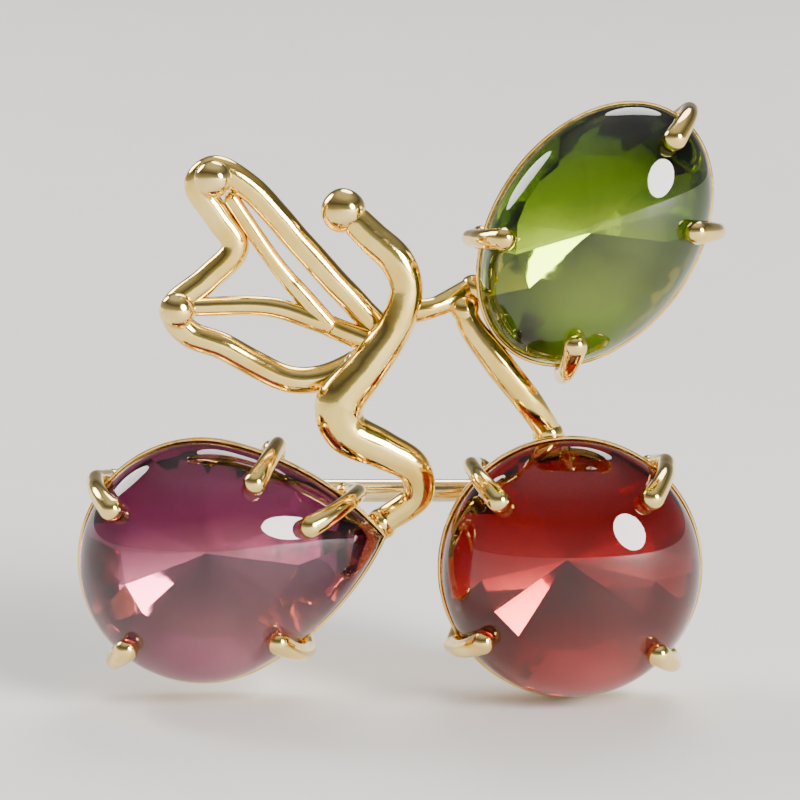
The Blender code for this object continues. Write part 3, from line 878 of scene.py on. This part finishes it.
# ---------------------------------------------------------------- solder
def make_grains(name, grains, look):
    """Melted grains of solder as one piece; each is (x, y, z, radius)."""
    bm = bmesh.new()
    for number, (x, y, z, radius) in enumerate(grains):
        lump = bmesh.ops.create_icosphere(bm, subdivisions=3, radius=radius)
        for vert in lump["verts"]:
            direction = vert.co / radius
            growth = 1 + swell(direction, GRAIN_WAVES, number)
            vert.co = direction * radius * growth + Vector((x, y, z))
    return finish_mesh(name, bm, [look], crease=80.0)


def make_skirt(name, x, half_x, half_z):
    """A hollow-sided fillet of solder round a fitting's rectangular foot on the back of a cup."""
    widest = SKIRT[0][0]
    rings = []
    for grow, rise in SKIRT:
        outline = []
        for quarter, (side_x, side_z) in enumerate(((1, 1), (-1, 1), (-1, -1), (1, -1))):
            middle = (side_x * (half_x - SKIRT_CORNER_R), side_z * (half_z - SKIRT_CORNER_R))
            outline += arc(middle, SKIRT_CORNER_R + grow, 90 * quarter, 90 * quarter + 90, steps=8)
        waves = [1 + SKIRT_WAVE * grow / widest * math.sin(7.0 * u + 5.0 * v) for u, v in outline]
        rings.append([Vector((x + u * k, CUP_BACK_Y + rise, v * k)) for (u, v), k in zip(outline, waves)])
    return finish_mesh(name, skinned(rings), ["gold_cast"], crease=60.0)


def make_solder():
    for name, (stone, _) in STONES.items():
        feet = [cup_side(stone, degrees, CLAW_GRAIN_SHARE, CLAW_GRAIN_OUT) for degrees in stone["claws"]]
        grains = make_grains(f"{name}_solder", [(*foot, CLAW_GRAIN_R) for foot in feet], "gold_cast")
        show(grains, [])
    joints = [
        (*cup_side(PEAR, BRANCH_ANGLE, STEM_END_SHARE, STEM_GRAIN_OUT), FRUIT_STEM_GRAIN_R),
        (*cup_side(ROUND, STEM_ROUND_ANGLE, STEM_END_SHARE, STEM_GRAIN_OUT), FRUIT_STEM_GRAIN_R),
        (*cup_side(OVAL, STEM_OVAL_ANGLE, STEM_END_SHARE, STEM_GRAIN_OUT), LEAF_STEM_GRAIN_R),
        *JOINT_GRAINS,
    ]
    show(make_grains("joint_solder", joints, "gold_wire"), [])
    show(make_skirt("hinge_solder", HINGE_X, EAR_R, EAR_OUT_HALF), [])
    show(make_skirt("catch_solder", CATCH_X, CATCH_HALF, CATCH_FOOT_HALF), [])


# ---------------------------------------------------------------- pin and catch
def round_rod(radius, half, look="gold_cast"):
    return finish_mesh("rod", turned([(0, -half), (radius, -half), (radius, half), (0, half)], "Z"), [look])


def make_bracket():
    side = [(EAR_R, FOOT_Y)] + arc((0, 0), EAR_R, 0, 180, steps=40) + [(-EAR_R, FOOT_Y)]
    bracket = finish_mesh("hinge_ears", prism(side, "Z", EAR_OUT_HALF), ["gold_cast"])
    floor = BRACKET_FLOOR_Y
    gap = [(-HINGE_CUT, floor), (HINGE_CUT, floor), (HINGE_CUT, HINGE_CUT), (-HINGE_CUT, HINGE_CUT)]
    cut(bracket, finish_mesh("gap", prism(gap, "Z", EAR_GAP_HALF), ["gold_cast"]))
    cut(bracket, round_rod(RIVET_HOLE_R, HINGE_CUT))
    soften(bracket, EDGE_SOFT)
    shift_x(bracket, HINGE_X)
    show(bracket, ["hinge_bracket"])


def make_rivet():
    """A rivet with a low domed head at each end."""
    head = arc((0, RIVET_NECK + RIVET_HEAD_EDGE), RIVET_HEAD_R, 0, RIVET_HEAD_SWEEP, steps=10)
    half = [(RIVET_R, RIVET_NECK), (RIVET_UNDER_R, RIVET_NECK)]
    half += [(r, RIVET_NECK + (h - RIVET_NECK) * RIVET_HEAD_FLATTEN) for r, h in head]
    half.append((0, RIVET_NECK + RIVET_HEAD_RISE))
    profile = [(r, -h) for r, h in reversed(half)] + half
    rivet = finish_mesh("rivet", turned(profile, "Z"), ["gold_wire"], crease=50.0)
    shift_x(rivet, HINGE_X)
    show(rivet, ["hinge_rivet"])


def make_pin():
    """The pin with its eye and stop heel in one piece, drawn to a point."""
    heel = arc((0, 0), HEEL_R, HEEL_ANGLE - HEEL_SPREAD / 2, HEEL_ANGLE + HEEL_SPREAD / 2, steps=8)
    eye_side = arc((0, 0), EYE_R, HEEL_ANGLE + HEEL_BLEND, HEEL_ANGLE - HEEL_BLEND + 360, steps=48)
    pin = finish_mesh("pin_wire", prism(heel + eye_side, "Z", EYE_HALF_HEIGHT), ["pin_steel"])
    tip = PIN_TIP_X - HINGE_X
    taper = tip - PIN_TAPER
    shaft = [(0, PIN_START), (PIN_R, PIN_START), (PIN_R, taper)]
    for k in range(1, PIN_TAPER_STEPS + 1):
        t = k / PIN_TAPER_STEPS
        radius = PIN_R * (1 - t**PIN_TAPER_POWER) + PIN_POINT_R * t
        shaft.append((radius, taper + (PIN_TAPER - PIN_POINT) * t))
    shaft.append((0, tip))
    cut(pin, finish_mesh("shaft", turned(shaft, "X"), ["pin_steel"]), "UNION")
    cut(pin, round_rod(EYE_HOLE_R, HINGE_CUT, "pin_steel"))
    soften(pin, EDGE_SOFT)
    shift_x(pin, HINGE_X)
    show(pin, ["pin_stem"], "pin")


def make_sleeve():
    """The catch's C-shaped sleeve on its foot."""
    meet = math.degrees(math.asin(CATCH_FOOT_HALF / HOUSING_R))
    outline = arc((0, 0), HOUSING_R, MOUTH_HALF_ANGLE, 180 - meet, steps=24)
    outline += [(FOOT_Y, CATCH_FOOT_HALF), (FOOT_Y, -CATCH_FOOT_HALF)]
    outline += arc((0, 0), HOUSING_R, 180 + meet, 360 - MOUTH_HALF_ANGLE, steps=24)
    outline += arc((0, 0), HOUSING_BORE_R, 360 - MOUTH_HALF_ANGLE, MOUTH_HALF_ANGLE, steps=64)
    sleeve = finish_mesh("catch_sleeve", prism(outline, "X", CATCH_HALF), ["gold_cast"])
    soften(sleeve, SLEEVE_SOFT)
    shift_x(sleeve, CATCH_X)
    show(sleeve, ["catch_housing"])


def make_barrel():
    """The slotted barrel that rolls in the sleeve, with a flange at each end and a thumb lever."""
    end = BARREL_HALF + FLANGE_THICK
    side = [(FLANGE_R - FLANGE_EASE, end), (FLANGE_R, end - FLANGE_EASE), (FLANGE_R, BARREL_HALF)]
    side.append((BARREL_R, BARREL_HALF))
    profile = [(0, -end)] + [(radius, -height) for radius, height in side]
    profile += list(reversed(side)) + [(0, end)]
    barrel = finish_mesh("catch_roller", turned(profile, "X"), ["gold_wire"])
    thick = LEVER_HALF_THICK
    tip = arc((LEVER_R - thick, 0), thick, -90, 90, steps=16)
    tongue = [(LEVER_ROOT, -thick)] + tip + [(LEVER_ROOT, thick)]
    along, across = math.cos(math.radians(LEVER_ANGLE)), math.sin(math.radians(LEVER_ANGLE))
    tilted = [(y * along - z * across, y * across + z * along) for y, z in tongue]
    cut(barrel, finish_mesh("lever", prism(tilted, "X", LEVER_HALF_WIDTH), ["gold_wire"]), "UNION")
    channel = [(SLOT_CUT, SLOT_HALF)] + arc((0, 0), SLOT_HALF, 90, 270, steps=32) + [(SLOT_CUT, -SLOT_HALF)]
    cut(barrel, finish_mesh("channel", prism(channel, "X", SLOT_CUT), ["gold_wire"]))
    soften(barrel, EDGE_SOFT)
    shift_x(barrel, CATCH_X)
    show(barrel, ["catch_barrel"], "catch")


# ---------------------------------------------------------------- studio
def make_stage():
    """A pale round floor that sweeps up all round into a low wall."""
    low = cad_low[2] / MM - FLOOR_DROP
    path = [(0.0, low), (FLOOR_FLAT, low)]
    for k in range(1, SWEEP_STEPS + 1):
        t = k / SWEEP_STEPS
        path.append((FLOOR_FLAT + SWEEP_REACH * t, low + SWEEP_RISE * t**2))
    bm = bmesh.new()
    points = [bm.verts.new((reach, 0.0, height)) for reach, height in path]
    edges = [bm.edges.new(pair) for pair in zip(points, points[1:])]
    spun = {"axis": (0, 0, 1), "angle": math.tau, "steps": SWEEP_TURN_STEPS, "use_merge": True}
    bmesh.ops.spin(bm, geom=points + edges, **spun)
    finish_mesh("floor", bm, ["pale_sweep"], crease=60.0)


def aim(holder, azimuth, elevation, distance):
    """Stands the holder round the brooch, facing it; azimuth 0 is in front, positive to the right."""
    a, e = math.radians(azimuth), math.radians(elevation)
    back = Vector((math.sin(a) * math.cos(e), -math.cos(a) * math.cos(e), math.sin(e)))
    holder.location = (Vector(cad_low) + Vector(cad_high)) / 2 + back * distance
    holder.rotation_euler = (-back).to_track_quat("-Z", "Y").to_euler()
    bpy.context.scene.collection.objects.link(holder)


def make_lights():
    for name, (azimuth, elevation, width, power, colour) in LIGHTS.items():
        light = bpy.data.lights.new(name, "AREA")
        light.shape = "DISK"
        light.size = width
        light.energy = power
        light.color = colour
        aim(bpy.data.objects.new(name, light), azimuth, elevation, LIGHT_DISTANCE)


def make_world():
    """A soft pale room: as pale as the floor at the horizon, duller above it, bright again overhead."""
    world = bpy.data.worlds.new("studio")
    world.use_nodes = True
    tree = world.node_tree
    toward = tree.nodes.new("ShaderNodeTexCoord").outputs["Generated"]
    parts = tree.nodes.new("ShaderNodeSeparateXYZ")
    tree.links.new(toward, parts.inputs[0])
    tones = tree.nodes.new("ShaderNodeValToRGB")
    tree.links.new(parts.outputs["Z"], tones.inputs["Fac"])
    tones.color_ramp.interpolation = "EASE"
    stops = tones.color_ramp.elements
    stops[0].position, stops[0].color = WORLD_TONES[0]
    stops[1].position, stops[1].color = WORLD_TONES[-1]
    for position, colour in WORLD_TONES[1:-1]:
        stops.new(position).color = colour
    back = tree.nodes["Background"]
    tree.links.new(tones.outputs["Color"], back.inputs["Color"])
    back.inputs["Strength"].default_value = WORLD_STRENGTH
    bpy.context.scene.world = world


def make_camera():
    """Nearly face-on and a little from above."""
    camera = bpy.data.cameras.new("camera")
    camera.lens = CAMERA_LENS
    camera.clip_start = CAMERA_NEAR
    camera.clip_end = CAMERA_FAR
    holder = bpy.data.objects.new("camera", camera)
    aim(holder, 0, CAMERA_ELEVATION, CAMERA_DISTANCE)
    bpy.context.scene.camera = holder


make_settings()
make_leaf()
make_stems()
make_solder()
make_bracket()
make_rivet()
make_pin()
make_sleeve()
make_barrel()
make_stage()
make_world()
make_lights()
make_camera()
